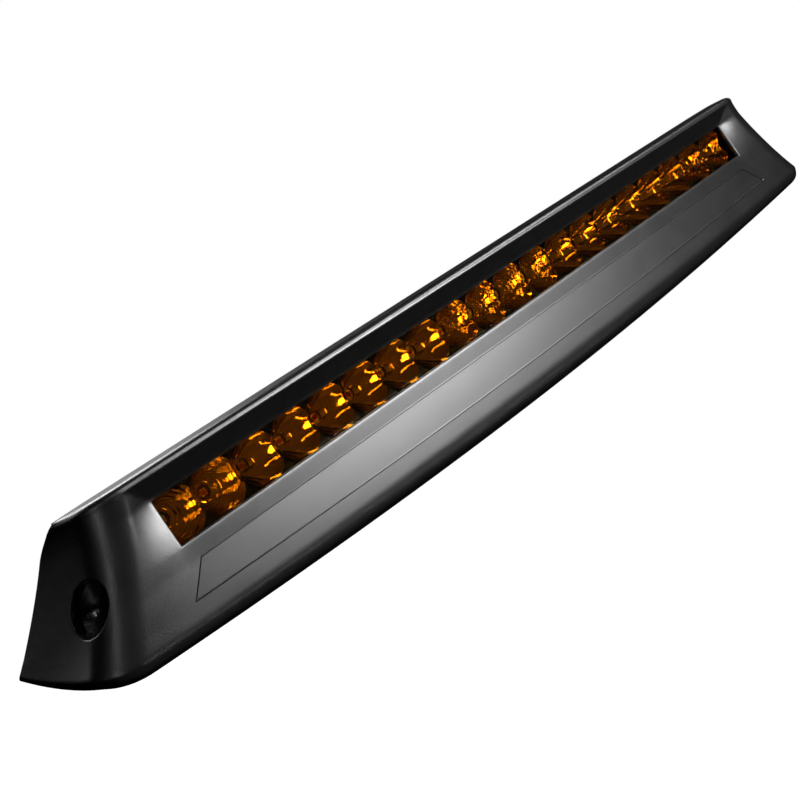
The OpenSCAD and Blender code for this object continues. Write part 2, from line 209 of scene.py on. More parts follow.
def bump(tree, shader, value, depth, strength):
    """Relief of a depth in metres."""
    node = tree.nodes.new("ShaderNodeBump")
    node.inputs["Strength"].default_value = strength
    node.inputs["Distance"].default_value = depth
    tree.links.new(value, node.inputs["Height"])
    tree.links.new(node.outputs["Normal"], shader.inputs["Normal"])


def moulded_plastic():
    """Black polymer with a fine spark-eroded grain and a slight shine."""
    material, tree, shader = new_material("housing_plastic", IOR=1.5, Specular_IOR_Level=1.0)
    grain = noise(tree, 1900, 2.0, 0.6)
    tree.links.new(two_tone(tree, grain, (0.0022, 0.0022, 0.0024), (0.0045, 0.0045, 0.0048)),
                   shader.inputs["Base Color"])
    tree.links.new(spread(tree, noise(tree, 55), 0.29, 0.33), shader.inputs["Roughness"])
    bump(tree, shader, grain, 0.00010, 0.6)
    return material


def plain_plastic(name, colour, rough, grain_scale=1200, specular=0.5):
    """Moulded plastic or rubber with a faint grain."""
    material, tree, shader = new_material(name, Specular_IOR_Level=specular)
    grain = noise(tree, grain_scale, 2.0)
    darker = tuple(c * 0.75 for c in colour)
    tree.links.new(two_tone(tree, grain, darker, colour), shader.inputs["Base Color"])
    tree.links.new(spread(tree, noise(tree, 120), rough - 0.06, rough + 0.06), shader.inputs["Roughness"])
    bump(tree, shader, grain, 0.00006, 0.4)
    return material


def metal(name, colour, rough):
    """Plated or turned metal, finely mottled."""
    material, tree, shader = new_material(name, Metallic=1.0)
    mottle = noise(tree, 900, 4.0, 0.5)
    darker = tuple(c * 0.8 for c in colour)
    tree.links.new(two_tone(tree, mottle, darker, colour), shader.inputs["Base Color"])
    tree.links.new(spread(tree, mottle, rough * 0.75, rough * 1.3), shader.inputs["Roughness"])
    bump(tree, shader, mottle, 0.00004, 0.5)
    return material


def anodised():
    """Black anodised aluminium: a dark matt skin with fine drawn lines along X."""
    material, tree, shader = new_material("anodised_alloy", Metallic=0.6)
    lines = noise(tree, 1500, 2.0, 0.5, squeeze=(0.04, 1.0, 1.0))
    tree.links.new(two_tone(tree, lines, (0.018, 0.018, 0.02), (0.04, 0.04, 0.044)),
                   shader.inputs["Base Color"])
    tree.links.new(spread(tree, noise(tree, 70), 0.36, 0.5), shader.inputs["Roughness"])
    bump(tree, shader, lines, 0.00005, 0.5)
    return material


def mirror_coat():
    """Vacuum-metallised plastic: a warm mirror with a little orange peel."""
    material, tree, shader = new_material("reflector_mirror", Metallic=1.0)
    tree.links.new(two_tone(tree, noise(tree, 300), (0.80, 0.66, 0.42), (0.92, 0.80, 0.56)),
                   shader.inputs["Base Color"])
    tree.links.new(spread(tree, noise(tree, 180), 0.03, 0.09), shader.inputs["Roughness"])
    bump(tree, shader, noise(tree, 260, 2.0), 0.00012, 0.6)
    return material


def amber_lens():
    """Clear amber polycarbonate."""
    material, tree, shader = new_material("lens_amber", IOR=1.25, Transmission_Weight=1.0,
                                          Specular_IOR_Level=0.15)
    tree.links.new(two_tone(tree, noise(tree, 25, 1.0), (1.0, 0.56, 0.055), (1.0, 0.60, 0.085)),
                   shader.inputs["Base Color"])
    tree.links.new(spread(tree, noise(tree, 90), 0.0, 0.012), shader.inputs["Roughness"])
    return material


def clear_dome():
    """The silicone dome over an LED chip."""
    material, tree, shader = new_material("led_dome", IOR=1.4, Transmission_Weight=1.0)
    tree.links.new(two_tone(tree, noise(tree, 400), (1.0, 0.90, 0.7), (1.0, 0.95, 0.82)),
                   shader.inputs["Base Color"])
    tree.links.new(spread(tree, noise(tree, 700), 0.02, 0.08), shader.inputs["Roughness"])
    return material


def led_body():
    """LED package: ceramic with an amber phosphor."""
    material, tree, shader = new_material("led_package", Roughness=0.5)
    tree.links.new(two_tone(tree, noise(tree, 900), (0.40, 0.15, 0.04), (0.50, 0.22, 0.08)),
                   shader.inputs["Base Color"])
    return material


# ---------------------------------------------------------------- housing shape
WINDOW_HX, WINDOW_ROUND, END_MARGIN = 251.4, 1.0, 11.8
# The lower the level, the further out the flat front reaches.
FLARE, FLARE_TOP_Z, FLARE_FALL, FLARE_POWER = 30.3, 22, 64, 1.3
CORNER_R, CORNER_X, CHEEK_TURN = 22.0, 293, math.radians(73)
CHEEK_RUN = 1 / math.tan(CHEEK_TURN)
ROOF_Z, LIP_Z, LIP_Y = 26.0, -60.2, -20
BASE_SLOPE, BASE_CROWN, CROWN_X = 0.3, 8.75, 280
PANEL_Z, PANEL_TOP_X, PANEL_LOW_X = -21.0, 246.5, 260.5
PANEL_LOW_Z, PANEL_BOW, PANEL_LOW_Y = -39.8, 4.2, -26.7
PANEL_FALL = PANEL_Z - LIP_Z
BEAD_HALF, BEAD_RISE = 0.45, 0.32
# The tip is the lowest and rearmost point of a cheek.
TIP_Y, TIP_PLANE_Y, TIP_RIDGE_Z, TIP_SAG = 43.0, -26.6, -30, 10
REAR_RAKE, REAR_ROUND, REAR_ROUND_Z = 0.617, 0.046, 12
ROOF_STRAIGHT_X, ROOF_ROUND_X, ROOF_ROWS = 262, 30, 8
MODULE_HX, MODULE_HZ, MODULE_Y = 270.3, 18.7, -20.4

# Level, share of the way down to the base, front y, half width of the flat front,
# y of the outer front plane at the corner, inset of the corner.
OUTER = [
    (26.0, 0, -23.4, 257, -28.0, 4.6), (25.4, 0, -26.0, 258, -28.0, 2.0),
    (24.0, 0, -27.6, 259, -28.0, 0.4), (22.4, 0, -28.0, 260, -28.0, 0.0),
    (21.2, 0, -27.2, 261, -27.6, 0.0), (12.4, 0, -21.8, 252.2, -26.6, 0.0),
    (-12.4, 0, -24.9, 252.2, -26.6, 0.0), (-21.0, 0, -25.2, 252.2, -26.6, 0.0),
    (-21.0, 0.477, -26.7, 259.4, -26.9, 0.0), (-21.0, 0.72, -27.4, 259.4, -27.4, 0.0),
    (-21.0, 0.88, -25.9, 259.4, -27.4, 1.5), (-21.0, 0.96, -23.4, 259.4, -27.4, 4.0),
    (-21.0, 1.0, -20.0, 259.4, -27.4, 7.4),
]
# The same stations on the inside of the 3 mm wall.
INNER = [
    (23.0, 0, -21.6, 252, -28.0, 6.4), (22.9, 0, -22.6, 252, -28.0, 5.4),
    (22.6, 0, -23.1, 252, -28.0, 4.8), (22.0, 0, -23.1, 252, -28.0, 4.4),
    (21.0, 0, -22.6, 252, -28.0, 4.4), (12.4, 0, -19.3, 252, -26.6, 3.0),
    (-12.4, 0, -21.9, 252, -26.6, 3.0), (-21.0, 0, -22.2, 252, -26.6, 3.0),
    (-21.0, 0.477, -23.7, 252, -26.9, 3.0), (-21.0, 0.72, -24.4, 252, -27.4, 3.0),
    (-21.0, 0.88, -22.9, 252, -27.4, 4.5), (-21.0, 0.96, -20.4, 252, -27.4, 7.0),
    (-21.0, 1.0, -17.0, 252, -27.4, 10.4),
]
# Station numbers of the places that a row of points has to meet.
VISOR, WINDOW_TOP, WINDOW_LOW, LINE_TOP, LINE_LOW, FOLD, BASE = 4, 5, 6, 7, 8, 9, 12
SILL_FALL = OUTER[WINDOW_LOW][0] - PANEL_Z
SHARES = [row[1] for row in OUTER[LINE_TOP:]]


def ridge_x(z):
    """Where the flat front ends and the corner begins."""
    return WINDOW_HX + END_MARGIN + FLARE * np.clip((FLARE_TOP_Z - z) / FLARE_FALL, 0, 1) ** FLARE_POWER


def base_z(x, y):
    """The surface that the housing's lower edge follows."""
    return LIP_Z + BASE_CROWN * (x / CROWN_X) ** 2 + BASE_SLOPE * (y - LIP_Y)


def panel_low(x):
    """The bowed lower line of the raised outline."""
    return PANEL_LOW_Z + PANEL_BOW * (np.clip(x, 0, PANEL_LOW_X) / PANEL_LOW_X) ** 2


def cheek_x(ridge, y, plane_y):
    """How far out a cheek lies at y, past a corner that begins at a ridge in the front plane."""
    return (ridge + CORNER_R * math.sin(CHEEK_TURN)
            + (y - plane_y - CORNER_R * (1 - math.cos(CHEEK_TURN))) * CHEEK_RUN)


TIP_Z = base_z(cheek_x(ridge_x(TIP_RIDGE_Z), TIP_Y, TIP_PLANE_Y), TIP_Y)


def rear_edge_y(z):
    """The raked rear edge of a cheek, rounded off where it meets the roof."""
    return TIP_Y - REAR_RAKE * (z - TIP_Z) - REAR_ROUND * max(z - REAR_ROUND_Z, 0) ** 2


def roof_rear_y(x):
    """The roof's rear edge: straight, with rounded corners."""
    straight = TIP_Y - REAR_RAKE * (ROOF_Z - TIP_Z)
    share = np.clip((np.abs(x) - ROOF_STRAIGHT_X) / ROOF_ROUND_X, 0, 1)
    return straight + (rear_edge_y(ROOF_Z) - straight) * share ** 2


def softened(run, values, width):
    """Values along a path, averaged over a bell of a width that shrinks at the ends."""
    step = np.gradient(run)
    reach = np.minimum(width, np.minimum(run - run[0], run[-1] - run) / 3 + 0.01)
    weight = np.exp(-0.5 * ((run[None, :] - run[:, None]) / reach[:, None]) ** 2) * step[None, :]
    return weight @ values / weight.sum(1)[:, None]


def path_length(points):
    """Distance of each point of a path from its start."""
    return np.concatenate([[0], np.cumsum(np.linalg.norm(np.diff(points, axis=0), axis=1))])


class Wall:
    """One side of the shell's wall: its stations with rounded edges, and the points on it."""

    def __init__(self, table, sharp_width, soft_width):
        raw = np.array(table, float)
        self.s = np.linspace(0, BASE, 1201)
        dense = np.array([np.interp(self.s, range(len(raw)), column) for column in raw.T]).T
        z = dense[:, 0] + dense[:, 1] * (base_z(0, dense[:, 2]) - dense[:, 0])
        run = path_length(np.array([dense[:, 2], z]).T)
        width = np.interp(self.s, [LINE_LOW - 0.1, LINE_LOW + 0.3], [sharp_width, soft_width])
        self.values = softened(run, dense, width)

    def at(self, s):
        """The table's six columns at one or more station numbers."""
        return [np.interp(s, self.s, column) for column in self.values.T]

    def row(self, station):
        """Points of the right half of a row, from the bar's middle to the cheek's rear edge."""
        level, share, _, _, plane_y, inset = self.at(station)
        ridge = float(ridge_x(level + share * (base_z(CORNER_X, LIP_Y) - level)))
        front_x = np.arange(0, ridge, 0.5)
        front_stations = bent_station(station, front_x)
        _, _, fronts, flats, planes, insets = self.at(front_stations)
        run = np.clip((front_x - flats) / np.maximum(ridge - flats, 1), 0, 1)
        front_y = fronts + (planes + insets - fronts) * run

        turn = np.linspace(0, CHEEK_TURN, 40)
        corner_x = ridge + (CORNER_R - inset) * np.sin(turn)
        corner_y = plane_y + CORNER_R - (CORNER_R - inset) * np.cos(turn)

        t = np.linspace(0, 1, 50)[1:]
        end_z = level + share * (TIP_Z - level)
        end_y = rear_edge_y(end_z)
        end_ridge = float(ridge_x(level) + share * (ridge_x(TIP_RIDGE_Z) - ridge_x(level)))
        end_x = cheek_x(end_ridge, end_y, plane_y) - 0.4 * inset
        side_x = corner_x[-1] + t * (end_x - corner_x[-1])
        side_y = corner_y[-1] + t * (end_y - corner_y[-1])

        plan = np.column_stack([np.concatenate([front_x, corner_x, side_x]),
                                np.concatenate([front_y, corner_y, side_y])])
        plan = softened(path_length(plan), plan, 1.0)
        stations = np.concatenate([front_stations, np.full(len(turn) + len(t), station)])
        levels, shares = self.at(stations)[:2]
        z = levels + shares * (base_z(plan[:, 0], plan[:, 1]) - levels)
        join = len(front_x) + len(turn) - 1
        z[join + 1:] = z[join] + t * (end_z - z[join]) - TIP_SAG * share * t * (1 - t)
        length = path_length(plan)
        stops = shell_columns(np.interp(station, [LINE_TOP, LINE_LOW], [0, 1]), plan[:, 0], length)
        points = np.column_stack([plan, z])
        return np.array([[np.interp(stop, length, c) for c in points.T] for stop in stops])


def bent_station(station, x):
    """Rows of the lip bend so that one of them follows the outline's lower line."""
    if not LINE_TOP < station < FOLD:
        return np.full(len(x), station)
    numbers = range(LINE_TOP, BASE + 1)
    share = np.interp(station, numbers, SHARES)
    base = base_z(np.minimum(x, PANEL_LOW_X), PANEL_LOW_Y)
    low = (panel_low(x) - PANEL_Z) / (base - PANEL_Z)
    if share <= SHARES[1]:
        bent = share * low / SHARES[1]
    else:
        bent = low + (share - SHARES[1]) / (SHARES[2] - SHARES[1]) * (SHARES[2] - low)
    return np.interp(bent, SHARES, numbers)


FRONT_COLUMNS, END_COLUMNS = 26, 58
LINE_COLUMN = FRONT_COLUMNS + 1
WINDOW_COLUMN = FRONT_COLUMNS + 3
CENTRE_COLUMN = WINDOW_COLUMN + END_COLUMNS
COLUMNS = 2 * CENTRE_COLUMN + 1


def shell_columns(down, x, length):
    """Where a row's columns lie: across the front, on the outline's slanted end, then round the corner."""
    line_x = PANEL_TOP_X + down * (PANEL_LOW_X - PANEL_TOP_X)
    inside = [k / FRONT_COLUMNS * (line_x - BEAD_HALF) for k in range(FRONT_COLUMNS + 1)]
    across = inside + [line_x, line_x + BEAD_HALF, line_x + WINDOW_HX + WINDOW_ROUND - PANEL_TOP_X]
    stops = list(np.interp(across, x, length))
    rest = np.linspace(stops[-1], length[-1], END_COLUMNS + 1)[1:]
    return stops + list(rest)


def steps(start, end, count):
    """Evenly spaced numbers after start, up to end."""
    return list(np.linspace(start, end, count + 1)[1:])


def row_stations():
    """Station numbers of the rows, close together at the edges and on each side of the bead."""
    line = BEAD_HALF / PANEL_FALL / SHARES[1]
    below_line = BEAD_HALF / PANEL_FALL / (SHARES[2] - SHARES[1])
    visor = [0.0] + steps(0, VISOR, 18) + steps(VISOR, WINDOW_TOP, 8)
    window = steps(WINDOW_TOP, WINDOW_LOW + 0.5 / SILL_FALL, 14)
    sill = steps(window[-1], LINE_TOP - BEAD_HALF / SILL_FALL, 7)
    upper = [float(LINE_TOP), LINE_TOP + line]
    panel = steps(LINE_TOP + line, LINE_LOW - line, 10)
    lower = [float(LINE_LOW), LINE_LOW + below_line]
    fold = steps(lower[-1], FOLD, 7) + steps(FOLD, BASE, 24)
    rows = visor + window + sill + upper + panel + lower + fold
    marks = {"window_top": len(visor) - 1, "window_low": len(visor) + len(window) - 1}
    marks["line_top"] = marks["window_low"] + len(sill) + 1
    marks["line_low"] = marks["line_top"] + 1 + len(panel) + 1
    return rows, marks


def mirrored(half):
    """A whole row, left to right, from its right half."""
    left = half[:0:-1] * np.array([-1, 1, 1])
    return np.vstack([left, half])


def raise_bead(rows, marks):
    """Lifts the outline's centre line off the lip."""
    top, low = marks["line_top"], marks["line_low"]
    across = range(CENTRE_COLUMN - LINE_COLUMN, CENTRE_COLUMN + LINE_COLUMN + 1)
    for r in range(top, low + 1):
        for c in across if r in (top, low) else (across[0], across[-1]):
            rows[r][c] -= np.array([0, BEAD_RISE, 0])


# ---------------------------------------------------------------- spanner holes
BOLT_X, SEAT_Z, POCKET_R = 294.0, -24.0, 9.3
BASE_TILT = math.atan(BASE_SLOPE)
BOLT_UP = Vector((0, -math.sin(BASE_TILT), math.cos(BASE_TILT)))
HOLE_CENTRE = Vector((297.5, -10.4, -13.2))
HOLE_TURN, HOLE_PITCH, HOLE_LEAN = math.radians(54), math.radians(8), math.radians(48.6)
HOLE_HALF_W, HOLE_HALF_H, HOLE_TAPER = 10.7, 13.3, 0.04
HOLE_ROUND, HOLE_WALL, HOLE_REACH = 0.5, 2.2, 14
EDGE_TURNS = [math.radians(a) for a in (15, 30, 45, 60, 75, 90)]


def hole_axes(side):
    """Outward axis of a spanner hole, and the two directions in its plane."""
    out = Vector((side * math.sin(HOLE_TURN) * math.cos(HOLE_PITCH),
                  -math.cos(HOLE_TURN) * math.cos(HOLE_PITCH), math.sin(HOLE_PITCH)))
    across = Vector((-side * math.cos(HOLE_TURN), -math.sin(HOLE_TURN), 0)).normalized()
    up = out.cross(across)
    return out, across, up if up.z > 0 else -up


def egg(angle):
    """Radius of the hole's outline in the direction of an angle, measured from its short axis."""
    q = np.linspace(0, 2 * math.pi, 361)
    u = HOLE_HALF_W * np.cos(q) * (1 - HOLE_TAPER * np.sin(q))
    v = HOLE_HALF_H * np.sin(q)
    around = np.unwrap(np.arctan2(v, u))
    return float(np.interp(angle % (2 * math.pi), around, np.hypot(u, v)))


def rim(angle, grow=0):
    """The outline's point in the direction of an angle, moved outwards by grow."""
    reach = egg(angle) + grow
    return reach * math.cos(angle), reach * math.sin(angle)


def off_bolt_axis(v):
    """The part of a vector that is square to the bolt."""
    return v - v.dot(BOLT_UP) * BOLT_UP


class SpannerHole:
    """Rounds off the rim of one egg-shaped hole and closes the pocket behind it."""

    def __init__(self, side, tree):
        self.side, self.tree = side, tree
        self.centre = Vector((side * HOLE_CENTRE.x, HOLE_CENTRE.y, HOLE_CENTRE.z))
        self.out, across, up = hole_axes(side)
        self.u = across * math.cos(HOLE_LEAN) - up * math.sin(HOLE_LEAN)
        self.v = up * math.cos(HOLE_LEAN) + across * math.sin(HOLE_LEAN)
        self.seat = Vector((side * BOLT_X, 0, SEAT_Z))

    def flat(self, point):
        """A point's place in the hole's plane."""
        away = Vector(point) - self.centre
        return away.dot(self.u), away.dot(self.v)

    def covers(self, point, scale, past_x):
        """Whether a point of the skin, further out than past_x, is in the outline enlarged by scale."""
        if self.side * point[0] <= past_x:
            return False
        u, v = self.flat(point)
        near = (Vector(point) - self.centre).dot(self.out) > -HOLE_REACH
        return near and math.hypot(u, v) < scale * egg(math.atan2(v, u))

    def on_skin(self, u, v, depth=0.0):
        """The skin's point over (u, v), moved inwards by depth."""
        start = self.centre + u * self.u + v * self.v + 60 * self.out
        hit = self.tree.ray_cast(start, -self.out)[0]
        return hit - depth * self.out

    def far_wall(self, u, v):
        """The far side of the round pocket over (u, v), or the pocket's widest place beside it."""
        start = self.centre + u * self.u + v * self.v
        off = off_bolt_axis(start - self.seat)
        heading = off_bolt_axis(-self.out)
        a, b = heading.dot(heading), off.dot(heading)
        c = off.dot(off) - POCKET_R ** 2
        root = math.sqrt(max(b * b - a * c, 0))
        return start - (-b + root) / a * self.out

    def above_seat(self, point):
        """Lifts a point of the pocket to its floor."""
        low = min((point - self.seat).dot(BOLT_UP), 0)
        return point - low * BOLT_UP

    def block(self, rows):
        """The block of the skin's grid that the hole's patch replaces."""
        found = [(r, c) for r, row in enumerate(rows) for c, point in enumerate(row)
                 if self.covers(point, 1.12, 260)]
        return (min(r for r, _ in found) - 1, max(r for r, _ in found) + 1,
                min(c for _, c in found) - 1, max(c for _, c in found) + 1)

    def rings(self, starts):
        """Rings of points from a border's places in the plane to the rim, round it and into the pocket."""
        angles = [math.atan2(v, u) for u, v in starts]
        for share in (0.3, 0.6, 0.85, 1.0):
            targets = [Vector(rim(a, HOLE_ROUND)) for a in angles]
            yield [self.on_skin(*Vector(start).lerp(end, share)) for start, end in zip(starts, targets)]
        for turn in EDGE_TURNS:
            grow, depth = HOLE_ROUND * (1 - math.sin(turn)), HOLE_ROUND * (1 - math.cos(turn))
            yield [self.on_skin(*rim(a, grow), depth) for a in angles]
        yield [self.on_skin(*rim(a), HOLE_WALL) for a in angles]
        for share in (1.0, 0.93, 0.8, 0.6, 0.35, 0.12):
            inner = [[share * w for w in rim(a)] for a in angles]
            yield [self.above_seat(self.far_wall(u, v)) for u, v in inner]


def hole_patch(hole, rows, points):
    """Replaces a block of the skin by rings that close in on a hole; returns its faces and the block."""
    block = hole.block(rows)
    border = block_border(block)
    loops = [[r * COLUMNS + c for r, c in border]]
    for ring in hole.rings([hole.flat(rows[r][c]) for r, c in border]):
        loops.append(add_ring(points, [tuple(p) for p in ring]))
    faces = loop_faces(loops, flip=hole.side > 0)
    faces.append(loops[-1] if hole.side > 0 else loops[-1][::-1])
    return faces, block


# ---------------------------------------------------------------- housing
# Level and y of the inner edge of the window's sill, below and above.
SILL_LOW, SILL_TOP = (-12.9, -22.1), (12.4, -20.6)
FLOOR_THICK, POCKET_WALL, POCKET_TOP = 3.0, 2.2, 27.0
TUBE_R, TUBE_BORE_R, TUBE_LENGTH = 8.0, 4.65, 19.4
BOSS_X, BOSS_Z, BOSS_R, BOSS_BORE_R = 275.6, 8, 4.6, 2.85
BOSS_FRONT_Y, BOSS_BORE_Y, BOSS_FACE_Y = -24.2, -21.5, -17
INDOOR_GAP = 1.2


def module_pocket(row):
    """Thins the wall from inside where the tilting lamp module needs room."""
    near = (np.abs(row[:, 0]) < MODULE_HX) & (np.abs(row[:, 2]) < MODULE_HZ)
    row[near, 1] = np.minimum(row[near, 1], MODULE_Y)
    return row


def window_loops(rows, inner_first, marks, points):
    """The rounded edge and the sill of the window, from the outer skin to the inner one."""
    block = (marks["window_top"], marks["window_low"],
             CENTRE_COLUMN - WINDOW_COLUMN, CENTRE_COLUMN + WINDOW_COLUMN)
    border = block_border(block)
    loops = [[r * COLUMNS + c for r, c in border]]
    edge = WINDOW_HX + WINDOW_ROUND
    # How far in from the edge, and the share of the way back to the sill's inner edge.
    places = [(math.sin(turn), 0.57 * (1 - math.cos(turn))) for turn in EDGE_TURNS]
    for inwards, along in places + [(1.0, 0.98), (1.02, 1.06)]:
        ring = []
        for r, c in border:
            x, y, z = rows[r][c]
            inner_y = np.interp(z, *zip(SILL_LOW, SILL_TOP))
            ring.append((float(np.clip(x, inwards - edge, edge - inwards)),
                         float(y + along * (inner_y - y)),
                         float(np.clip(z, SILL_LOW[0] + inwards, SILL_TOP[0] - 0.5 * inwards))))
        loops.append(add_ring(points, ring))
    loops.append([inner_first + r * COLUMNS + c for r, c in border])
    return loop_faces(loops), block


def edge_strips(row_count, inner_first):
    """Faces that close the wall along its lower edge and up the rear edges of both cheeks."""
    faces = []
    last = (row_count - 1) * COLUMNS
    for a in range(last, last + COLUMNS - 1):
        faces.append([a, a + 1, inner_first + a + 1, inner_first + a])
    for a in range(0, last, COLUMNS):
        b = a + COLUMNS
        faces.append([a, b, inner_first + b, inner_first + a])
        a, b = a + COLUMNS - 1, b + COLUMNS - 1
        faces.append([b, a, inner_first + a, inner_first + b])
    return faces


def roof_points(front):
    """Rows of points from a front edge straight back to the rear edge."""
    rows = []
    rear = np.maximum(roof_rear_y(front[:, 0]), front[:, 1])
    for share in steps(0, 1, ROOF_ROWS):
        row = front.copy()
        row[:, 1] = front[:, 1] + share * (rear - front[:, 1])
        rows.append(row)
    return rows


def add_roof(points, faces, edges):
    """The roof's upper and under skin and its rear strip; edges are each skin's front edge and its index."""
    rears = []
    for (edge, edge_first), upper in zip(edges, (True, False)):
        first = len(points)
        points += [tuple(p) for row in roof_points(edge) for p in row]
        for c in range(COLUMNS - 1):
            quad = [edge_first + c, edge_first + c + 1, first + c + 1, first + c]
            faces.append(quad[::-1] if upper else quad)
        faces += grid_faces(first, ROOF_ROWS, COLUMNS, flip=upper)
        rears.append(len(points) - COLUMNS)
    for c in range(COLUMNS - 1):
        a, b = rears[0] + c, rears[1] + c
        faces.append([b, b + 1, a + 1, a])


def lathe(points, faces, at, axis, side_axis, outline, keep, count=48):
    """Turns an outline of (radius, distance along the axis) round an axis, dropping faces not kept."""
    other = axis.cross(side_axis)
    first = len(points)
    for radius, along in outline:
        for k in range(count):
            q = 2 * math.pi * k / count
            spoke = math.cos(q) * side_axis + math.sin(q) * other
            points.append(tuple(at + float(along) * axis + radius * spoke))
    for i in range(len(outline) - 1):
        for k in range(count):
            a, b = first + i * count + k, first + i * count + (k + 1) % count
            quad = [a + count, b + count, b, a]
            if all(keep(Vector(points[v])) for v in quad):
                faces.append(quad)


def housing_bosses(points, faces, tree):
    """The bolt pockets' walls, the bolt tubes and the bracket screw bosses inside the shell."""
    def indoors(p):
        ways = Vector((0, -1, 0)), Vector((math.copysign(1, p.x), 0, 0))
        hits = [tree.ray_cast(p, way)[0] for way in ways]
        return all(hit is not None and (hit - p).length > INDOOR_GAP for hit in hits)

    x_axis, y_axis = Vector((1, 0, 0)), Vector((0, 1, 0))
    wall = POCKET_R + POCKET_WALL
    tube = [(TUBE_BORE_R, -FLOOR_THICK), (TUBE_BORE_R, -TUBE_LENGTH), (TUBE_R, -TUBE_LENGTH),
            (TUBE_R, -FLOOR_THICK - 0.4), (TUBE_R + 0.6, -FLOOR_THICK),
            (wall - 0.5, -FLOOR_THICK), (wall, 0.5 - FLOOR_THICK)]
    tube += [(wall, a) for a in np.linspace(0, POCKET_TOP - 0.6, 20)]
    tube += [(r, POCKET_TOP) for r in (10.9, 9, 7, 5, 3, 0.01)]
    boss = [(BOSS_BORE_R, BOSS_BORE_Y), (BOSS_BORE_R, BOSS_FACE_Y), (BOSS_R - 0.3, BOSS_FACE_Y),
            (BOSS_R, BOSS_FACE_Y - 0.3), (BOSS_R, BOSS_FRONT_Y)]
    for side in (-1, 1):
        lathe(points, faces, Vector((side * BOLT_X, 0, SEAT_Z)), BOLT_UP, x_axis, tube, indoors)
        for z in (-BOSS_Z, BOSS_Z):
            lathe(points, faces, Vector((side * BOSS_X, 0, z)), y_axis, x_axis, boss, indoors, 32)


def make_housing(finish):
    """The shell: both skins, the window, the spanner holes and the bosses, in one piece."""
    stations, marks = row_stations()
    outer, inner = Wall(OUTER, 0.45, 1.5), Wall(INNER, 0.4, 1.5)
    rows = [mirrored(outer.row(s)) for s in stations]
    backs = [module_pocket(mirrored(inner.row(s))) for s in stations]
    tree = BVHTree.FromPolygons([tuple(p) for row in rows for p in row],
                                grid_faces(0, len(rows), COLUMNS))
    raise_bead(rows, marks)
    points = [tuple(p) for row in rows for p in row]
    inner_first = len(points)
    points += [tuple(p) for row in backs for p in row]

    faces, window = window_loops(rows, inner_first, marks, points)
    holes, blocks = [SpannerHole(side, tree) for side in (-1, 1)], [window]
    for hole in holes:
        patch, block = hole_patch(hole, rows, points)
        faces += patch
        blocks.append(block)

    def outer_kept(r, c):
        return not any(in_block(block, r, c) for block in blocks)

    def inner_kept(r, c):
        return not (in_block(window, r, c) or any(h.covers(backs[r][c], 1.06, 270) for h in holes))

    faces += grid_faces(0, len(rows), COLUMNS, keep=outer_kept)
    faces += grid_faces(inner_first, len(rows), COLUMNS, flip=True, keep=inner_kept)
    faces += edge_strips(len(rows), inner_first)
    add_roof(points, faces, [(rows[0], 0), (backs[0], inner_first)])
    housing_bosses(points, faces, tree)
    points, faces, _ = merged(points, faces, digits=4)
    add_piece("housing", points, faces, [finish], "housing", "housing_shell", sharp=24)


# ---------------------------------------------------------------- reflectors
CUP_4F = (CUP_RIM_R ** 2 - CUP_HOLE_R ** 2) / CUP_DEPTH
CUP_STEPS, CUP_RINGS = 120, 30
BLOCK_HZ, BLOCK_BACK = 13.6, 0.8
FLUTE_PITCH, FLUTE_HEIGHT, RELIEF_START, RELIEF_END = 1.45, 0.30, 0.5, 0.8
FACET_PITCH, FACETS_AROUND, PILLOW_HEIGHT, FACET_TILT = 2.05, 18, 0.30, 0.44


def bowl_y(r):
    """Depth of the plain bowl at a radius."""
    return -(r * r - CUP_HOLE_R ** 2) / CUP_4F


def fluted(r, angle, seed):
    """Concentric rounded flutes."""
    phase = (r - CUP_HOLE_R) / FLUTE_PITCH
    edge = min(1, (r - CUP_HOLE_R) / RELIEF_START)
    return FLUTE_HEIGHT * edge * abs(math.sin(math.pi * phase))


def smooth(r, angle, seed):
    """No relief."""
    return 0.0


def hammered(r, angle, seed):
    """A ring pattern of pillowed facets, each tilted its own way by a number made from its place."""
    ring = (r - CUP_HOLE_R) / FACET_PITCH
    odd = int(ring) % 2
    lane = (angle / (2 * math.pi)) % 1 * (FACETS_AROUND + 4 * odd) + 0.5 * odd
    u, v = lane % 1 - 0.5, ring % 1 - 0.5
    key = math.sin(12.9898 * int(lane) + 78.233 * int(ring) + 3.7 * seed) * 43758.5453
    tilt_u, tilt_v = key % 1 - 0.5, (key * 7.13) % 1 - 0.5
    pillow = (1 - 4 * u * u) * (1 - 4 * v * v)
    return min(1, ring * 2) * (PILLOW_HEIGHT * pillow + FACET_TILT * (tilt_u * u + tilt_v * v))


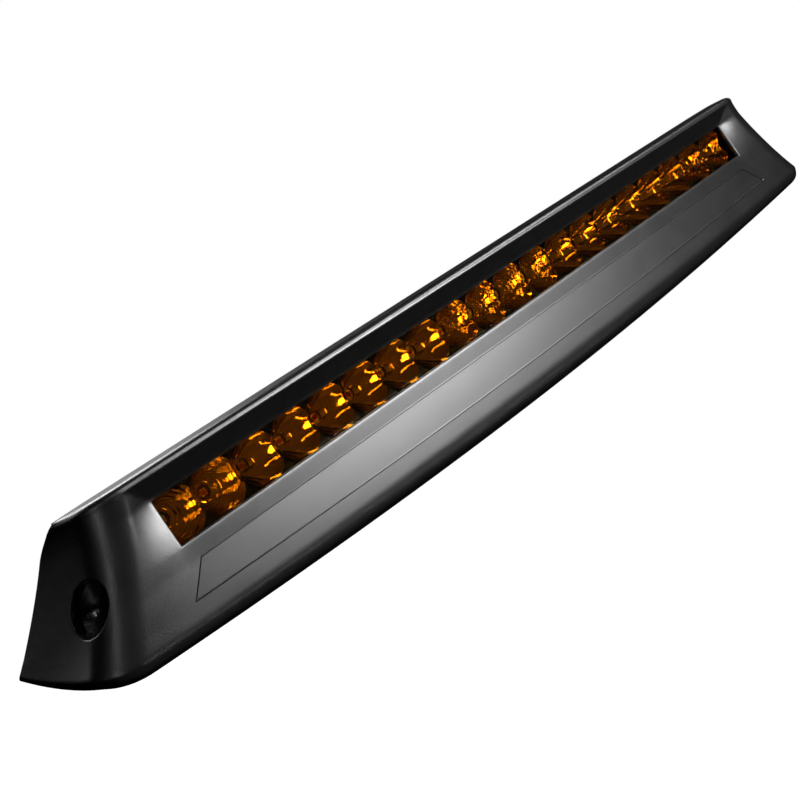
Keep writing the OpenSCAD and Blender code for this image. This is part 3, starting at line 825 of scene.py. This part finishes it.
def cup(points, faces, numbers, centre_x, relief, seed):
    """One bowl with its square rim: the hole's wall, the bowl, the step to the rim and the flat rim."""
    first = len(points)
    for k in range(CUP_STEPS):
        angle = 2 * math.pi * (k + 0.5) / CUP_STEPS
        ca, sa = math.cos(angle), math.sin(angle)
        side_r = CELL_PITCH / 2 / max(abs(ca), TINY)
        reach = min(CUP_RIM_R, side_r, CUP_FLAT / max(abs(sa), TINY))
        line = [(CUP_HOLE_R, BLOCK_BACK)]
        for i in range(CUP_RINGS + 1):
            r = CUP_HOLE_R + (reach - CUP_HOLE_R) * i / CUP_RINGS
            fade = min(1, (reach - r) / RELIEF_END)
            line.append((r, bowl_y(r) - fade * relief(r, angle, seed)))
        if reach < side_r - TINY:
            line.append((reach, -CUP_DEPTH))
            line.append((min(side_r, BLOCK_HZ / max(abs(sa), TINY)), -CUP_DEPTH))
        else:
            line += [(reach, line[-1][1])] * 2
        points.extend((centre_x + r * ca, y, r * sa) for r, y in line)
    rings = CUP_RINGS + 4
    for k in range(CUP_STEPS):
        for i in range(rings - 1):
            a, b = first + k * rings + i, first + (k + 1) % CUP_STEPS * rings + i
            faces.append([a, b, b + 1, a + 1])
            # Material 1 is painted shade: near-black on the wall round the LED hole and on the step up to
            # the flat rim.
            numbers.append(1 if i in (0, rings - 2) else 0)


def make_reflector(name, first_cell, last_cell, relief, finish):
    """A strip of bowls with its closed ends; the mirror is material 0, and material 1 is a near-black colour
    that paints shade.
    """
    points, faces, numbers = [], [], []
    row_hx = CELL_PITCH * CELL_COUNT / 2
    for cell in range(first_cell, last_cell + 1):
        cup(points, faces, numbers, (cell - 0.5) * CELL_PITCH - row_hx, relief, cell)
    first = len(points)
    x0, x1 = (first_cell - 1) * CELL_PITCH - row_hx, last_cell * CELL_PITCH - row_hx
    points += [(x, y, z) for x in (x0, x1) for y in (-CUP_DEPTH, BLOCK_BACK) for z in (-BLOCK_HZ, BLOCK_HZ)]
    # The closed ends take material 1, the near-black painted shade.
    for quad in ((0, 4, 6, 2), (1, 3, 7, 5)):
        faces.append([first + v for v in quad])
        numbers.append(1)
    points, faces, chosen = merged(points, faces, digits=3)
    add_piece(name, points, faces, finish, "lamp_module", name, sharp=28,
              material_numbers=[numbers[i] for i in chosen])


# ---------------------------------------------------------------- camera, light and floor
CAMERA_AT = (-498.1, -541.6, 55.3)
FLOOR_HALF, FLOOR_DROP = 6.0, 0.25


def aimed(at, direction, roll=0.0):
    """The matrix of a camera or light at a place in metres that looks along a direction."""
    turn = direction.to_track_quat("-Z", "Y").to_matrix().to_4x4() @ Matrix.Rotation(roll, 4, "Z")
    return Matrix.Translation(at) @ turn


def add_camera():
    """A view from the left front, rolled so that the bar rises to the right."""
    azimuth, elevation, roll = math.radians(-37.234), math.radians(6.186), math.radians(-30.578)
    camera = bpy.data.objects.new("camera", bpy.data.cameras.new("camera"))
    camera.data.sensor_width, camera.data.lens = 36.0, 57.15
    camera.data.clip_start, camera.data.clip_end = 0.05, 50
    back = Vector((math.sin(azimuth) * math.cos(elevation), -math.cos(azimuth) * math.cos(elevation),
                   math.sin(elevation)))
    camera.matrix_world = aimed(LAMP + MM * Vector(CAMERA_AT), -back, roll)
    bpy.context.scene.collection.objects.link(camera)
    bpy.context.scene.camera = camera


def softbox(name, at, aim, width, height, radiance):
    """A white rectangular area light of a given brightness, aimed at a point; all in metres."""
    light = bpy.data.lights.new(name, "AREA")
    light.shape, light.size, light.size_y = "RECTANGLE", width, height
    light.energy = radiance * math.pi * width * height
    holder = bpy.data.objects.new(name, light)
    holder.matrix_world = aimed(at, Vector(aim) - Vector(at))
    bpy.context.scene.collection.objects.link(holder)


def add_lights():
    """Two bright softboxes, strips that draw the edges, and weak fills for the cheeks and the back."""
    softbox("lip_softbox", (0.40, -0.68, 0.20), (-0.05, 0, 0), 0.27, 0.36, 24.0)
    softbox("top_softbox", (0.50, -0.40, 0.70), (0.1, 0, 0), 0.8, 0.14, 17.0)
    softbox("high_strip", (0.0, -0.85, 0.70), (0, 0, 0), 1.0, 0.02, 10.0)
    softbox("low_strip", (0.25, -0.80, -0.45), (0, 0, 0), 1.0, 0.02, 10.0)
    softbox("left_strip", (-0.85, -0.45, 0.1), (0, 0, 0), 0.02, 0.8, 8.0)
    softbox("fill_softbox", (-0.9, -0.5, 0.35), (-0.1, 0, 0), 0.8, 0.8, 0.05)
    softbox("cheek_softbox", (-0.2, 0.9, 0.6), (0, 0, 0), 1.4, 0.7, 0.6)
    softbox("rear_softbox", (0.0, 0.80, 0.75), (0, 0, 0), 0.7, 0.4, 6.0)


def add_world():
    """A surround that is seen as white but lights the object only a little, from the front."""
    world = bpy.data.worlds.new("surround")
    world.use_nodes = True
    tree = world.node_tree
    sky = tree.nodes["Background"]
    sky.inputs["Color"].default_value = (1, 1, 1, 1)
    seen = tree.nodes.new("ShaderNodeLightPath")
    where = tree.nodes.new("ShaderNodeTexCoord")
    axes = tree.nodes.new("ShaderNodeSeparateXYZ")
    tree.links.new(where.outputs["Generated"], axes.inputs["Vector"])
    front = map_range(tree, axes.outputs["Y"], -1.0, 0.0, 0.065, 0.0)
    level = map_range(tree, seen.outputs["Is Camera Ray"], 0.0, 1.0, 0.0, 1.0)
    tree.links.new(front.outputs["Result"], level.inputs["To Min"])
    tree.links.new(level.outputs["Result"], sky.inputs["Strength"])
    bpy.context.scene.world = world


def add_floor():
    """A pale floor well below the bar."""
    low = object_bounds()[0].z - FLOOR_DROP
    corners = [(x * FLOOR_HALF, y * FLOOR_HALF, low) for x, y in ((-1, -1), (1, -1), (1, 1), (-1, 1))]
    mesh = bpy.data.meshes.new("floor")
    mesh.from_pydata(corners, [], [(0, 1, 2, 3)])
    material, tree, shader = new_material("floor", Roughness=0.9, Specular_IOR_Level=0.1,
                                          Emission_Strength=1.0, Emission_Color=(1, 1, 1, 1))
    tree.links.new(two_tone(tree, noise(tree, 2.0), (0.80, 0.80, 0.80), (0.84, 0.84, 0.84)),
                   shader.inputs["Base Color"])
    mesh.materials.append(material)
    floor = bpy.data.objects.new("floor", mesh)
    floor.visible_glossy = False
    floor.visible_transmission = False
    floor.visible_diffuse = False
    bpy.context.scene.collection.objects.link(floor)


# ---------------------------------------------------------------- finish of the CAD nodes
def finish_nodes():
    """Procedural materials for the pieces that keep their CAD shape."""
    steel = metal("zinc_steel", (0.62, 0.62, 0.60), 0.3)
    brass = metal("brass", (0.78, 0.58, 0.26), 0.28)
    alloy = anodised()
    coat = plain_plastic("powder_coat", (0.03, 0.03, 0.032), 0.5, 900)
    rubber = plain_plastic("seal_rubber", (0.02, 0.02, 0.02), 0.75, 700)
    nylon = plain_plastic("nylon", (0.025, 0.025, 0.026), 0.45, 1100)
    board = plain_plastic("board_black", (0.012, 0.011, 0.010), 0.4, 500)
    green = plain_plastic("board_green", (0.03, 0.16, 0.07), 0.35, 500)
    tan = plain_plastic("ceramic_tan", (0.45, 0.34, 0.18), 0.5, 800)
    pad = plain_plastic("thermal_pad", (0.42, 0.42, 0.44), 0.8, 600)
    looks = {
        "mount_sleeve": steel, "mount_bolt": steel, "bracket_screws": steel, "end_cap_screws": steel,
        "pivot_bolt": steel, "pivot_washer": steel, "thread_inserts": brass, "heat_sink": alloy,
        "end_cap": alloy, "bracket": coat, "end_gasket": rubber, "lens_seal": rubber,
        "gland_seal": rubber, "gland_body": nylon, "gland_nut": nylon, "vent_plug": nylon,
        "led_board": board, "driver_board": green, "driver_inductors": nylon,
        "driver_capacitors": tan, "driver_chips": nylon, "thermal_pad": pad,
        "lens": amber_lens(), "led_packages": led_body(), "led_domes": clear_dome(),
    }
    for name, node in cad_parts.items():
        plain = name.removesuffix("_left").removesuffix("_right")
        if plain in looks:
            node.data.materials.clear()
            node.data.materials.append(looks[plain])


def main():
    """Makes the whole scene."""
    add_camera()
    make_housing(moulded_plastic())
    mirror = mirror_coat()
    # Painted shade: a near-black, almost unshiny colour on the flat corners between the bowls, the hole
    # walls, the rim steps and the closed ends.
    painted_shade = plain_plastic("reflector_painted_shade", (0.006, 0.005, 0.004), 0.7, specular=0.1)
    for name, first, last, relief in (("reflector_fluted_left", 1, 2, fluted),
                                      ("reflector_smooth_left", 3, 8, smooth),
                                      ("reflector_faceted_centre", 9, 12, hammered),
                                      ("reflector_smooth_right", 13, 18, smooth),
                                      ("reflector_faceted_right", 19, 20, hammered)):
        make_reflector(name, first, last, relief, [mirror, painted_shade])
    finish_nodes()
    add_world()
    add_lights()
    add_floor()
    bpy.context.scene.view_settings.view_transform = "Standard"


main()
